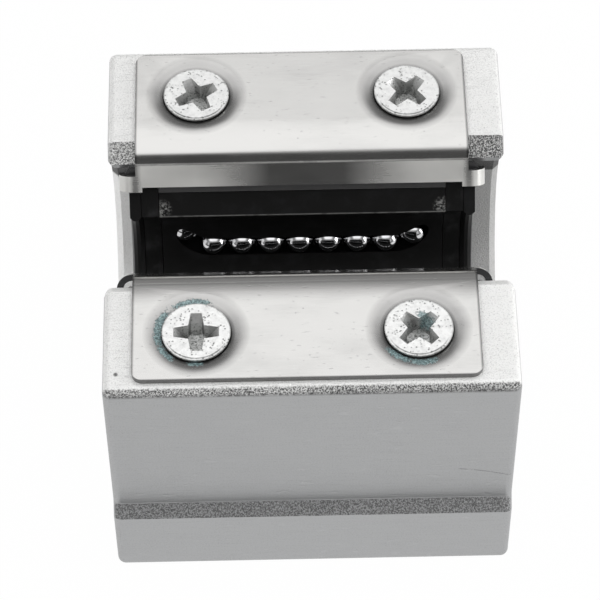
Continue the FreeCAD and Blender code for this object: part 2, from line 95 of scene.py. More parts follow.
# --- Shader building ------------------------------------------------------------------------
class Signal:
    """A number on a shader socket that can be used in Python arithmetic."""

    def __init__(self, bench: "Bench", socket: bpy.types.NodeSocket) -> None:
        """Wrap a socket.

        Args:
            bench: the material's node bench, which adds the Math nodes.
            socket: the output socket that carries the number.
        """
        self.bench = bench
        self.socket = socket

    def _math(self, operation: str, *values: "Number", clamp: bool = False) -> "Signal":
        """Add one Math node.

        Args:
            operation: Blender's name of the operation.
            values: its operands in order.
            clamp: whether the result is kept between 0 and 1.

        Returns:
            The result.
        """
        settings = {"operation": operation, "use_clamp": clamp}
        return self.bench.node("ShaderNodeMath", settings, dict(enumerate(values))).signal()

    def __add__(self, other: "Number") -> "Signal":
        """Sum."""
        return self._math("ADD", self, other)

    def __radd__(self, other: "Number") -> "Signal":
        """Sum with a plain number on the left."""
        return self._math("ADD", other, self)

    def __sub__(self, other: "Number") -> "Signal":
        """Difference."""
        return self._math("SUBTRACT", self, other)

    def __rsub__(self, other: "Number") -> "Signal":
        """Difference from a plain number."""
        return self._math("SUBTRACT", other, self)

    def __mul__(self, other: "Number") -> "Signal":
        """Product."""
        return self._math("MULTIPLY", self, other)

    def __rmul__(self, other: "Number") -> "Signal":
        """Product with a plain number on the left."""
        return self._math("MULTIPLY", other, self)

    def __truediv__(self, other: "Number") -> "Signal":
        """Quotient."""
        return self._math("DIVIDE", self, other)

    def __rtruediv__(self, other: "Number") -> "Signal":
        """Quotient of a plain number."""
        return self._math("DIVIDE", other, self)

    def __pow__(self, other: "Number") -> "Signal":
        """Power."""
        return self._math("POWER", self, other)

    def __abs__(self) -> "Signal":
        """Absolute value."""
        return self._math("ABSOLUTE", self)

    def clamped(self) -> "Signal":
        """The number kept between 0 and 1."""
        return self._math("ADD", self, 0.0, clamp=True)

    def rise(self, low: float, high: float) -> "Signal":
        """Straight ramp.

        Args:
            low: where the result is 0.
            high: where the result is 1; it may lie below low, for a ramp that falls.

        Returns:
            The ramp, kept between 0 and 1.
        """
        return ((self - low) * (1.0 / (high - low))).clamped()

    def larger(self, other: "Number") -> "Signal":
        """The larger of two numbers."""
        return self._math("MAXIMUM", self, other)


Number = Union[Signal, float]


class Fitted:
    """A node placed on the bench."""

    def __init__(self, bench: "Bench", node: bpy.types.Node) -> None:
        """Wrap a node.

        Args:
            bench: the bench it stands on.
            node: the node.
        """
        self.bench = bench
        self.node = node

    def signal(self, output: Union[str, int] = 0) -> Signal:
        """One of the node's outputs, by name or place."""
        return Signal(self.bench, self.node.outputs[output])


class Bench:
    """Node tree of one material, with the coordinates and patterns that finishes share."""

    def __init__(self, name: str, sky: bool = False) -> None:
        """Start an empty material, or the surrounding light.

        Args:
            name: the material's name.
            sky: whether this is the world, whose coordinates are directions.
        """
        self.material = (bpy.data.worlds if sky else bpy.data.materials).new(name)
        self.material.use_nodes = True
        self.tree = self.material.node_tree
        self.tree.nodes.clear()
        self.place = self.node("ShaderNodeTexCoord").signal("Generated" if sky else "Object")

    def node(
        self,
        kind: str,
        settings: Optional[Mapping[str, Any]] = None,
        inputs: Optional[Mapping[Union[str, int], Any]] = None,
    ) -> Fitted:
        """Add any node.

        Args:
            kind: Blender's node type.
            settings: its properties, which are set first.
            inputs: value or signal of each socket, by name or place.

        Returns:
            The node.
        """
        node = self.tree.nodes.new(kind)
        for key, value in (settings or {}).items():
            setattr(node, key, value)
        for key, value in (inputs or {}).items():
            if isinstance(value, Signal):
                self.tree.links.new(value.socket, node.inputs[key])
            else:
                node.inputs[key].default_value = value
        return Fitted(self, node)

    def axes(self) -> tuple[Signal, Signal, Signal]:
        """The point's X, Y and Z in metres, or the direction's in the sky."""
        parts = self.node("ShaderNodeSeparateXYZ", None, {0: self.place})
        return parts.signal(0), parts.signal(1), parts.signal(2)

    def noise(
        self,
        size: float,
        detail: float = 3.0,
        rough: float = 0.5,
        stretch: tuple[float, float, float] = (1.0, 1.0, 1.0),
    ) -> Signal:
        """Soft noise.

        Args:
            size: width of one patch in metres.
            detail: how many finer octaves are added.
            rough: how strong they are.
            stretch: how much longer a patch is along each axis.

        Returns:
            The noise, about 0.5 on average.
        """
        scale = [1.0 / (size * part) for part in stretch]
        mapped = self.node(
            "ShaderNodeMapping", {"vector_type": "POINT"}, {"Vector": self.place, "Scale": scale}
        ).signal()
        return self.node(
            "ShaderNodeTexNoise",
            {"noise_dimensions": "3D"},
            {"Vector": mapped, "Scale": 1.0, "Detail": detail, "Roughness": rough},
        ).signal(0)

    def pits(self, size: float, share: float) -> Signal:
        """Round specks scattered over the surface.

        Args:
            size: spacing of the specks in metres.
            share: radius of a speck against the spacing.

        Returns:
            1 inside a speck and 0 outside.
        """
        cell = self.node(
            "ShaderNodeTexVoronoi",
            {"feature": "F1"},
            {"Vector": self.place, "Scale": 1.0 / size},
        ).signal("Distance")
        return cell.rise(share, share * 0.5)

    def facing(self) -> tuple[Signal, Signal, Signal]:
        """Direction that the surface faces.

        Returns:
            Its share along X, Y and Z.
        """
        normal = self.node("ShaderNodeNewGeometry").signal("Normal")
        parts = self.node("ShaderNodeSeparateXYZ", None, {0: normal})
        return parts.signal(0), parts.signal(1), parts.signal(2)

    def blend(self, share: Number, first: Any, second: Any) -> Signal:
        """Mix two colours.

        Args:
            share: how much of the second.
            first: colour or signal.
            second: colour or signal.

        Returns:
            The mixed colour.
        """
        full = [c if isinstance(c, Signal) else (*c, 1.0) for c in (first, second)]
        return self.node(
            "ShaderNodeMix",
            {"data_type": "RGBA", "blend_type": "MIX"},
            {0: share, 6: full[0], 7: full[1]},
        ).signal(2)

    def bump(self, height: Signal, depth: float, under: Optional[Signal] = None) -> Signal:
        """Surface relief.

        Args:
            height: relief from 0 to 1.
            depth: how far 1 stands above 0, in metres.
            under: the bent normal of a coarser relief that this one lies on.

        Returns:
            The bent normal.
        """
        inputs = {"Height": height, "Distance": depth, "Strength": 1.0}
        if under is not None:
            inputs["Normal"] = under
        return self.node("ShaderNodeBump", None, inputs).signal()

    def near(self, value: Signal, place: float, reach: float) -> Signal:
        """A soft band.

        Args:
            value: the signal that is compared.
            place: where the band's middle lies.
            reach: how far it fades out on either side.

        Returns:
            1 in the middle and 0 beyond the reach.
        """
        return abs(value - place).rise(reach, reach * 0.3)

    def finish(self, **sockets: Any) -> bpy.types.Material:
        """Close the material with one Principled surface.

        Args:
            sockets: its inputs, with underscores for spaces.

        Returns:
            The material.
        """
        inputs = {key.replace("_", " "): value for key, value in sockets.items()}
        surface = self.node("ShaderNodeBsdfPrincipled", None, inputs).signal("BSDF")
        self.node("ShaderNodeOutputMaterial", None, {"Surface": surface})
        return self.material


# --- Finishes -------------------------------------------------------------------------------
@dataclass(frozen=True)
class BlastedAluminium:
    """The casing: blasted lands and bore mouths, milled sides with faint scratches; the lands and mouths
    are painted lit and the sides painted shaded, with painted shade on the right and outer chamfers, on the
    right bore mouth and under the mouth's overhang.
    """

    # Painted light: one aluminium, painted lit for the upward lands and bore mouths and painted shaded for
    # the sides and the step.
    lit_land: Colour = (0.98, 0.98, 0.97)
    side: Colour = (0.43, 0.434, 0.438)
    shadow: Colour = (0.09, 0.09, 0.09)
    grain: float = 0.125 * MM
    grain_depth: float = 0.06 * MM
    mouth_reach: float = 10.4 * MM
    step_reach: float = 14.5 * MM
    # Height above which the overhang gets painted shadow.
    pocket_shade_height: float = 16.9 * MM
    foot_top: tuple[float, float] = (9.0 * MM, 11.0 * MM)
    land_outside: tuple[float, float] = (12.0 * MM, 13.0 * MM)
    mouth_top: tuple[float, float] = (22.4 * MM, 21.8 * MM)
    half_way: float = 2.0 * MM
    pit: tuple[float, float, float] = (-14.95 * MM, -15.15 * MM, 0.2 * MM)
    line_start: tuple[float, float] = (11.4 * MM, 12.5 * MM)
    line_end: tuple[float, float] = (15.9 * MM, 11.3 * MM)

    def _scratch_line(self, bench: Bench, x: Signal, z: Signal) -> Signal:
        """The long scratch on the front face.

        Args:
            bench: the material's bench.
            x: the point's X.
            z: the point's Z.

        Returns:
            1 in the scratch and 0 outside.
        """
        run = self.line_end[0] - self.line_start[0]
        fall = self.line_end[1] - self.line_start[1]
        share = (x - self.line_start[0]) * (1.0 / run)
        sag = share * (1.0 - share) * 0.7 * MM
        reach = abs(z - sag - self.line_start[1] - share * fall)
        inside = share.rise(0.0, 0.06) * share.rise(1.0, 0.94)
        return reach.rise(0.08 * MM, 0.03 * MM) * inside * bench.noise(0.5 * MM, 3.0).rise(0.36, 0.5)

    def material(self) -> bpy.types.Material:
        """Build the casing's material.

        Returns:
            The finished material.
        """
        bench = Bench("blasted_aluminium")
        along, back, up = bench.facing()
        x, y, z = bench.axes()
        high = z.rise(*self.foot_top)
        aside = abs(y)
        right = x.rise(-self.half_way, self.half_way)
        outer = aside.rise(*self.land_outside)
        mouth = aside.rise(self.mouth_reach, self.mouth_reach - 0.4 * MM) * z.rise(*self.mouth_top)
        mouth = mouth * abs(along).rise(0.9, 0.8) * up.rise(-0.97, -0.9)
        top = up.rise(0.2, 0.6) * high * (1.0 - mouth)
        edge = up.rise(0.97, 0.86) * back.rise(-0.15, -0.4) * up.rise(0.1, 0.35) * high * (1.0 - mouth)
        step = up.rise(0.3, 0.6) * (1.0 - high) * aside.rise(self.step_reach, self.step_reach + 0.5 * MM)
        # Painted shadow under the bore mouth's overhang.
        pocket_shade = mouth * up.rise(0.1, -0.2) * z.rise(self.pocket_shade_height, self.pocket_shade_height + 0.6 * MM)
        grain = bench.noise(self.grain, 2.0, 0.7)
        speck = bench.noise(0.2 * MM, 2.0, 0.6)
        cloud = bench.noise(2.4 * MM, 3.0, 0.55)
        drawn = bench.noise(0.07 * MM, 2.0, 0.6, (60.0, 1.0, 1.0))
        scratch = bench.noise(0.05 * MM, 1.0, 0.5, (30.0, 1.0, 14.0)).rise(0.66, 0.72)
        pit_x, pit_y, pit_size = self.pit
        pit = (((x - pit_x) ** 2.0 + (y - pit_y) ** 2.0) ** 0.5).rise(pit_size, pit_size * 0.5) * top
        blasted = (top + step + mouth).clamped()
        line = self._scratch_line(bench, x, z) * y.rise(0.0, -1.0 * MM) * (1.0 - blasted)
        # Darkening towards the shadow colour. Grain, specks, the pit, the scratch line and cloud are the
        # metal's own marks and tone; the chamfer terms are painted shade, darker on the right and on the
        # outer edges, and the right bore mouth and the overhang get painted shade too.
        shaded = (grain.rise(0.48, 0.3) * 0.3 * top + speck.rise(0.42, 0.3) * 0.16 * top
                  + grain.rise(0.6, 0.42) * 0.72 * edge
                  + edge * (0.02 + right * (0.34 - outer * 0.24) + outer * 0.14)
                  + grain.rise(0.5, 0.36) * 0.1 * mouth + mouth * right * 0.5
                  + grain.rise(0.6, 0.42) * 0.78 * step + step * 0.12 + pit * 0.8 + pocket_shade * 1.4
                  + ((drawn - 0.5) * 0.4 + (grain - 0.5) * 0.6) * (1.0 - blasted) + line * 0.45
                  + (cloud - 0.5) * 0.1)
        # Painted light: upward lands and mouths take the lit colour, all else the shaded one.
        tone = bench.blend((top + mouth).clamped(), self.side, self.lit_land)
        colour = bench.blend(shaded.clamped(), tone, self.shadow)
        rough = 0.45 + (grain - 0.5) * 0.3 + blasted * 0.12 - scratch * 0.08
        relief = grain * (blasted * 0.8 + 0.22 + edge * 0.8) + drawn * 0.25 * (1.0 - blasted)
        normal = bench.bump(relief - scratch * 0.2 - pit, self.grain_depth)
        return bench.finish(
            Base_Color=colour,
            Metallic=(1.0 - blasted * 0.5),
            Roughness=rough.clamped(),
            Normal=normal,
        )


@dataclass(frozen=True)
class Smear:
    """A smear of thread lock along part of a screw's rim."""

    screw: tuple[float, float]
    towards: float
    spread: float
    inner: float
    outer: float

    def mask(self, bench: Bench, ragged: Signal) -> Signal:
        """Where the smear lies.

        Args:
            bench: the material's bench.
            ragged: noise about 0.5 that breaks up its outline.

        Returns:
            1 inside the smear and 0 outside.
        """
        x, y, _ = bench.axes()
        across, along = x - self.screw[0], y - self.screw[1]
        away = (across ** 2.0 + along ** 2.0) ** 0.5
        angle = math.radians(self.towards)
        ahead = (across * math.cos(angle) + along * math.sin(angle)) / away
        middle, half = (self.inner + self.outer) / 2, (self.outer - self.inner) / 2
        band = abs(away - middle).rise(half, half * 0.3)
        arc = ahead.rise(math.cos(math.radians(self.spread)), math.cos(math.radians(self.spread * 0.4)))
        return (band * arc * 1.1 + (ragged - 0.5) * 3.2).rise(0.5, 0.75) * (band * arc).rise(0.0, 0.12)


@dataclass(frozen=True)
class ThreadLock:
    """The blue-green thread lock that was wiped from the front screws."""

    smears: tuple[Smear, ...]
    colour: Colour = (0.42, 0.61, 0.62)
    deep_colour: Colour = (0.02, 0.075, 0.085)
    cover: float = 0.78

    def mask(self, bench: Bench) -> Signal:
        """Where all the smears lie.

        Args:
            bench: the material's bench.

        Returns:
            0 outside, and up to the cover inside a smear.
        """
        ragged = bench.noise(0.2 * MM, 4.0, 0.78)
        total = self.smears[0].mask(bench, ragged)
        for smear in self.smears[1:]:
            total = total.larger(smear.mask(bench, ragged))
        return total * self.cover

    def tint(self, bench: Bench) -> Signal:
        """Its colour, deep where it is thick and pale where it was wiped thin."""
        thick = bench.noise(0.14 * MM, 3.0, 0.7).rise(0.42, 0.66)
        return bench.blend(thick, self.deep_colour, self.colour)


@dataclass(frozen=True)
class StainlessSheet:
    """The two plates: pale rolled stainless, with painted shade in the dimples round the screws, along the
    cut edges and on the front ears, and a painted highlight on the flange's ends and along its bend.
    """

    screws: tuple[tuple[float, float], ...]
    head: float
    ends: tuple[float, float]
    outer_edge: float
    lock: ThreadLock
    colour: Colour = (0.54, 0.535, 0.525)
    shade: Colour = (0.32, 0.32, 0.32)
    # Painted shade colour, then painted highlight colour.
    painted_shade: Colour = (0.06, 0.06, 0.062)
    painted_highlight: Colour = (0.72, 0.715, 0.69)
    roll_start: float = 9.1 * MM
    roll_end: float = 7.1 * MM
    roll_drop: float = 0.12 * MM
    crease_height: float = 23.42 * MM

    def _rings(self, bench: Bench) -> Signal:
        """Painted shade in the dimples, darkest close to the screws and on their near side.

        Args:
            bench: the material's bench.

        Returns:
            0 on the flat sheet, rising to 1 at the screws.
        """
        x, y, _ = bench.axes()
        total = x * 0.0
        for screw_x, screw_y in self.screws:
            across, along = x - screw_x, y - screw_y
            away = (across ** 2.0 + along ** 2.0) ** 0.5
            behind = (along / away).rise(0.1, 0.85)
            ring = away.rise(self.head * 1.58, self.head * 1.02) * (1.0 - behind * 0.35)
            ring = (ring + away.rise(self.head * 1.14, self.head * 1.02) * 0.4).clamped()
            total = total.larger(ring)
        return total

    def material(self) -> bpy.types.Material:
        """Build the plates' material.

        Returns:
            The finished material.
        """
        bench = Bench("stainless_sheet")
        x, y, z = bench.axes()
        _, _, up = bench.facing()
        rolled = bench.noise(0.06 * MM, 3.0, 0.6, (26.0, 1.0, 1.0))
        cloud = bench.noise(2.6 * MM, 3.0, 0.55, (2.2, 1.0, 1.0))
        dot = bench.pits(0.9 * MM, 0.09) * bench.noise(1.3 * MM, 2.0).rise(0.54, 0.6)
        flat = up.rise(0.9, 0.99)
        bent = up.rise(0.72, 0.68)
        nick = bench.noise(0.04 * MM, 1.0, 0.5, (12.0, 5.0, 1.0)).rise(0.71, 0.76) * flat
        half_length = (self.ends[1] - self.ends[0]) / 2
        from_middle = abs(x - (self.ends[1] + self.ends[0]) / 2)
        # Painted shade along the cut edges and the sheet's downward faces near its outer edge.
        cut = (from_middle.rise(half_length - 0.2 * MM, half_length - 0.05 * MM)
               + abs(y).rise(self.outer_edge - 0.12 * MM, self.outer_edge)
               + up.rise(0.6, 0.3) * abs(y).rise(12.0 * MM, 13.0 * MM) * 2.0).clamped()
        tone = bench.blend(
            ((rolled - 0.5) * 0.16 + (cloud - 0.5) * 0.5 + nick * 0.3 + dot * 0.6).clamped(),
            self.colour,
            self.shade,
        )
        # Painted shade in the dimples round the screws.
        ring = self._rings(bench) * flat.larger(0.8)
        # Painted shade on the front ears beyond the plate's ends; it joins the dimple rings and cut edges
        # in the mix towards the painted shade colour.
        ears = from_middle.rise(half_length, half_length + 0.1 * MM) * y.rise(0.0, -1.0 * MM)
        painted_shade_mask = (ring * (0.66 + cloud * 0.5) + cut * 0.8 + ears).clamped() * (0.9 + ears * 0.08)
        # Painted highlight: the flange's ends and a thin line where the bend meets the flange are made
        # pale, less metallic and rougher, on the back plate and at the plate's ends only.
        below = z.rise(self.crease_height, self.crease_height - 0.1 * MM)
        seam = 1.0 - bench.near(from_middle, half_length, 0.5 * MM) * 0.5
        ends = abs(x).rise(3.0 * MM, 9.0 * MM) * below * (0.55 + cloud * 0.7) * seam
        crease_highlight = bench.near(z, self.crease_height, 0.09 * MM) * (0.3 + cloud * 0.4)
        shown = y.rise(0.0, 1.0 * MM).larger(from_middle.rise(half_length - 0.2 * MM, half_length))
        highlight_mask = (bent * ends.larger(crease_highlight) * shown).clamped()
        stain = self.lock.mask(bench)
        base = bench.blend(highlight_mask, bench.blend(painted_shade_mask, tone, self.painted_shade), self.painted_highlight)
        colour = bench.blend(stain, base, self.lock.tint(bench))
        rough = 0.2 + (rolled - 0.5) * 0.08 + (cloud - 0.5) * 0.12 + ring * 0.1 + stain * 0.25
        roll = abs(y).rise(self.roll_start, self.roll_end)
        crowned = bench.bump(1.0 - roll * roll, self.roll_drop)
        relief = rolled * (0.06 + flat * 0.19) - nick * 0.5 - dot * 0.5 + stain * 3.0
        normal = bench.bump(relief, 0.004 * MM, crowned)
        return bench.finish(
            Base_Color=colour,
            Metallic=(1.0 - stain - highlight_mask * 0.7).clamped(),
            Roughness=(rough + highlight_mask * 0.15).clamped(),
            Normal=normal,
        )


@dataclass(frozen=True)
class ZincPlate:
    """The plate screws: pale zinc, pitted, with painted shade deep in the recess and round the head's rim.
    """

    top_z: float
    screws: tuple[tuple[float, float], ...]
    head: float
    lock: ThreadLock
    colour: Colour = (0.82, 0.822, 0.815)
    # Colour of the pits and of the painted shade.
    pits_and_painted_shade: Colour = (0.19, 0.195, 0.19)

    def _rim_shade(self, bench: Bench) -> Signal:
        """Painted shade in the step near the head's rim, darkest on the near side.

        Args:
            bench: the material's bench.

        Returns:
            0 on the rest of the head, rising to 1 in the step.
        """
        x, y, _ = bench.axes()
        total = x * 0.0
        for screw_x, screw_y in self.screws:
            across, along = x - screw_x, y - screw_y
            away = (across ** 2.0 + along ** 2.0) ** 0.5
            ahead = (along / away).rise(-0.35, -0.75)
            groove = bench.near(away, self.head * 0.925, 0.09 * MM) * ahead
            corner = bench.near(away, self.head * 0.99, self.head * 0.03) * 0.6
            total = total.larger(groove).larger(corner)
        return total

    def material(self) -> bpy.types.Material:
        """Build the screws' material.

        Returns:
            The finished material.
        """
        bench = Bench("zinc_plate")
        _, _, z = bench.axes()
        # Painted shade, darker deeper in the recess.
        deep = z.rise(self.top_z - 0.15 * MM, self.top_z - 1.3 * MM)
        cloud = bench.noise(0.42 * MM, 4.0, 0.7)
        speck = bench.pits(0.24 * MM, 0.36) * bench.noise(0.55 * MM, 2.0).rise(0.44, 0.58)
        flake = bench.noise(0.16 * MM, 2.0, 0.6).rise(0.5, 0.62)
        stain = self.lock.mask(bench)
        rim = self._rim_shade(bench) * (0.5 + cloud)
        # Specks and cloud are the zinc's own pits and tone; the recess and rim terms are painted shade.
        tone = bench.blend(
            (speck * 0.7 + (cloud - 0.45) * 0.8 + deep * (0.62 + flake * 0.4) + rim * 0.8).clamped(),
            self.colour,
            self.pits_and_painted_shade,
        )
        colour = bench.blend(stain, tone, self.lock.tint(bench))
        rough = 0.38 + (cloud - 0.5) * 0.3 + speck * 0.2
        normal = bench.bump(cloud * 0.7 - speck * 0.6 + stain * 0.5, 0.03 * MM)
        return bench.finish(
            Base_Color=colour, Metallic=0.85 - stain * 0.85, Roughness=rough.clamped(), Normal=normal
        )


@dataclass(frozen=True)
class OiledSteel:
    """The sleeve: hardened steel, dark with oil, with a painted highlight along its back cut edge."""

    colour: Colour = (0.15, 0.15, 0.152)
    # Colour of the painted highlight line.
    painted_glint: Colour = (0.85, 0.85, 0.83)
    highlight_height: float = 20.58 * MM

    def material(self) -> bpy.types.Material:
        """Build the sleeve's material.

        Returns:
            The finished material.
        """
        bench = Bench("oiled_steel")
        _, y, z = bench.axes()
        ground = bench.noise(0.05 * MM, 2.0, 0.5, (1.0, 30.0, 30.0))
        cloud = bench.noise(1.5 * MM, 3.0, 0.5)
        tone = bench.blend(((cloud - 0.4) * 0.7).clamped(), self.colour, (0.06, 0.06, 0.06))
        # Painted highlight: a pale, less metallic line along the back cut edge.
        line = bench.near(z, self.highlight_height, 0.1 * MM) * cloud.rise(0.3, 0.5) * y.rise(0.0, 1.0 * MM)
        return bench.finish(
            Base_Color=bench.blend(line * 0.8, tone, self.painted_glint),
            Metallic=1.0 - line * 0.5,
            Roughness=(0.36 + (ground - 0.5) * 0.2 + (cloud - 0.5) * 0.12).clamped(),
            Normal=bench.bump(ground, 0.002 * MM),
        )


@dataclass(frozen=True)
class BallSteel:
    """Polished balls with a thin film of oil."""

    colour: Colour = (0.62, 0.62, 0.63)

    def material(self) -> bpy.types.Material:
        """Build the balls' material.

        Returns:
            The finished material.
        """
        bench = Bench("ball_steel")
        film = bench.noise(0.5 * MM, 3.0, 0.6)
        tone = bench.blend(film.rise(0.45, 0.75) * 0.35, self.colour, (0.34, 0.34, 0.35))
        return bench.finish(
            Base_Color=tone,
            Metallic=1.0,
            Roughness=(0.07 + (film - 0.5) * 0.1).clamped(),
            Normal=bench.bump(film, 0.001 * MM),
        )


@dataclass(frozen=True)
class BlackResin:
    """Moulded black resin or rubber, slightly mottled, with its scuffs; a piece with scuffs also gets a
    painted highlight along its lower cut edge.
    """

    name: str
    colour: Colour = (0.007, 0.007, 0.007)
    grease: Colour = (0.014, 0.014, 0.015)
    # Colour of the scuffs and of the painted highlight.
    scuff_and_highlight: Colour = (0.34, 0.34, 0.33)
    rough: float = 0.46
    grain: float = 0.12 * MM
    scuffs: tuple[tuple[float, float], ...] = ()
    scuff_size: float = 0.85 * MM
    highlight_height: float = 19.09 * MM

    def _scuff_and_highlight(self, bench: Bench) -> Signal:
        """Grey scuffs on the cut face, and a painted highlight along its lower edge.

        Args:
            bench: the material's bench.

        Returns:
            1 on the scuffs and on the highlight line, 0 elsewhere.
        """
        x, _, z = bench.axes()
        mottle = bench.noise(0.2 * MM, 3.0, 0.7)
        # Painted highlight: a grey line along the lower cut edge.
        total = bench.near(z, self.highlight_height, 0.09 * MM) * bench.noise(1.2 * MM, 3.0).rise(0.3, 0.5) * 0.8
        for scuff_x, height in self.scuffs:
            away = ((x - scuff_x) ** 2.0 + (z - height) ** 2.0 * 1.6) ** 0.5
            total = total.larger(away.rise(self.scuff_size, self.scuff_size * 0.4) * mottle.rise(0.44, 0.6))
        return total

    def material(self) -> bpy.types.Material:
        """Build the black material.

        Returns:
            The finished material.
        """
        bench = Bench(self.name)
        cloud = bench.noise(1.4 * MM, 4.0, 0.6)
        grain = bench.noise(self.grain, 2.0, 0.6)
        tone = bench.blend(cloud.rise(0.5, 0.8), self.colour, self.grease)
        if self.scuffs:
            tone = bench.blend(self._scuff_and_highlight(bench) * 0.75, tone, self.scuff_and_highlight)
        rough = self.rough + (grain - 0.5) * 0.25 + (cloud - 0.5) * 0.2
        return bench.finish(
            Base_Color=tone,
            Metallic=0.0,
            Roughness=rough.clamped(),
            Specular_IOR_Level=0.16,
            Normal=bench.bump(grain * 0.7 + cloud * 0.3, 0.008 * MM),
        )


# --- Pieces ---------------------------------------------------------------------------------
@dataclass
class Workshop:
    """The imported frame, and the ways a visible piece is made from it."""

    frame: Mapping[str, Any]
    pieces: list[str] = field(default_factory=list)

    @staticmethod
    def pick(target: bpy.types.Object) -> None:
        """Select one object alone and make it active.

        Args:
            target: the object.
        """
        bpy.ops.object.select_all(action="DESELECT")
        target.select_set(True)
        bpy.context.view_layer.objects.active = target

    def body_of(self, node: str) -> str:
        """Name of the body that a CAD node rides on."""
        bodies = self.frame["record"]["behaviour"]["bodies"]
        return next(body for body, nodes in bodies.items() if node in nodes)

    def eased_copy(self, node: str, name: str, angle: float = 28.0) -> bpy.types.Object:
        """Copy a CAD node with its corners merged and its curved faces shaded smooth.

        Args:
            node: the CAD node, which the copy replaces.
            name: the new piece's name.
            angle: edges bent less than this, in degrees, are shaded smooth.

        Returns:
            The new piece, riding on the node's body.
        """
        piece = bpy.data.objects.new(name, self.frame["nodes"][node].data.copy())
        bpy.context.scene.collection.objects.link(piece)
        self.pick(piece)
        bpy.ops.object.mode_set(mode="EDIT")
        bpy.ops.mesh.select_all(action="SELECT")
        bpy.ops.mesh.remove_doubles(threshold=1e-7)
        bpy.ops.mesh.customdata_custom_splitnormals_clear()
        bpy.ops.object.mode_set(mode="OBJECT")
        bpy.ops.object.shade_smooth_by_angle(angle=math.radians(angle))
        evened = piece.modifiers.new("evened", "WEIGHTED_NORMAL")
        evened.keep_sharp = True
        bpy.ops.object.modifier_apply(modifier=evened.name)
        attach(piece, self.body_of(node))
        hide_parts(node)
        return piece

    def dress(self, piece: bpy.types.Object, finish: bpy.types.Material, slot: str) -> None:
        """Give a piece its finish.

        Args:
            piece: the piece, or a CAD node that stays.
            finish: its material.
            slot: the record's material slot that it stands for; not used.
        """
        piece.data.materials.clear()
        piece.data.materials.append(finish)
        self.pieces.append(piece.name)
        LOG.info("%s: %d faces", piece.name, len(piece.data.polygons))


@dataclass
class Casing:
    """The slotted aluminium casing."""

    workshop: Workshop

    def build(self) -> None:
        """Make and dress the casing."""
        body = self.workshop.eased_copy("casing", "milled_casing", 20.0)
        self.workshop.dress(body, BlastedAluminium().material(), "casing")


@dataclass
class PlatesAndScrews:
    """The two bent plates and the four screws that hold them."""

    workshop: Workshop

    @staticmethod
    def _screw_middle(corner: str) -> tuple[float, float]:
        """X and Y of one screw's middle."""
        low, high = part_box(f"plate_screw_{corner}")
        return (low.x + high.x) / 2, (low.y + high.y) / 2

    def _plate_ends(self, beyond: float) -> tuple[float, float]:
        """Both ends of a plate's flat part, without the ears.

        Args:
            beyond: how far out from the shaft line the flat part is measured.

        Returns:
            Its lowest and highest X.
        """
        mesh = self.workshop.frame["nodes"]["back_plate"].data
        places = [corner.co.x for corner in mesh.vertices if corner.co.y > beyond]
        return min(places), max(places)

    def _thread_lock(self, head: float) -> ThreadLock:
        """Smears round the two front screws.

        Args:
            head: radius of a screw's head.

        Returns:
            The smears.
        """
        left, right = self._screw_middle("front_left"), self._screw_middle("front_right")
        return ThreadLock(
            (
                Smear(left, 172.0, 46.0, head * 0.96, head * 1.3),
                Smear(left, 98.0, 38.0, head * 0.98, head * 1.24),
                Smear(left, 218.0, 22.0, head * 1.0, head * 1.3),
                Smear(left, 268.0, 16.0, head * 0.97, head * 1.2),
                Smear(right, 236.0, 30.0, head * 0.96, head * 1.3),
                Smear(right, 275.0, 26.0, head * 1.0, head * 1.34),
                Smear(right, 62.0, 42.0, head * 0.28, head * 0.66),
            )
        )

    def build(self) -> None:
        """Make and dress plates and screws."""
        screw_low, screw_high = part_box("plate_screw_front_left")
        _, plate_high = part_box("back_plate")
        head = (screw_high.x - screw_low.x) / 2
        corners = [f"{p.name.lower()}_{e.name.lower()}" for p in Place for e in End]
        screws = tuple(self._screw_middle(corner) for corner in corners)
        lock = self._thread_lock(head)
        sheet = StainlessSheet(
            screws=screws,
            head=head,
            ends=self._plate_ends(abs(screw_high.y)),
            outer_edge=plate_high.y,
            lock=lock,
        ).material()
        for place in Place:
            side = place.name.lower()
            plate = self.workshop.eased_copy(f"{side}_plate", f"{side}_sheet")
            self.workshop.dress(plate, sheet, "plates")
        zinc = ZincPlate(screw_high.z, screws, head, lock).material()
        for corner in corners:
            screw = self.workshop.eased_copy(f"plate_screw_{corner}", f"zinc_screw_{corner}")
            self.workshop.dress(screw, zinc, "screws")


@dataclass
class Bearing:
    """The open bearing: sleeve, retainer, retaining rings and end seals."""

    workshop: Workshop
    scuffs: tuple[tuple[float, float], ...] = ((-11.7 * MM, 19.6 * MM), (11.0 * MM, 19.5 * MM))

    def build(self) -> None:
        """Make and dress the bearing's fixed pieces."""
        sleeve = self.workshop.eased_copy("bearing_sleeve", "ground_sleeve")
        self.workshop.dress(sleeve, OiledSteel().material(), "sleeve")
        cage = self.workshop.eased_copy("ball_retainer", "moulded_retainer")
        resin = BlackResin("black_resin", scuffs=self.scuffs)
        self.workshop.dress(cage, resin.material(), "retainer")
        spring = BlackResin("black_spring_steel", grease=(0.03, 0.03, 0.031), rough=0.4)
        rubber = BlackResin("black_rubber", rough=0.55)
        ring_finish = spring.material()
        seal_finish = rubber.material()
        for end in End:
            side = end.name.lower()
            ring = self.workshop.eased_copy(f"retaining_ring_{side}", f"spring_ring_{side}")
            self.workshop.dress(ring, ring_finish, "rings")
            seal = self.workshop.eased_copy(f"end_seal_{side}", f"rubber_seal_{side}")
            self.workshop.dress(seal, seal_finish, "seals")


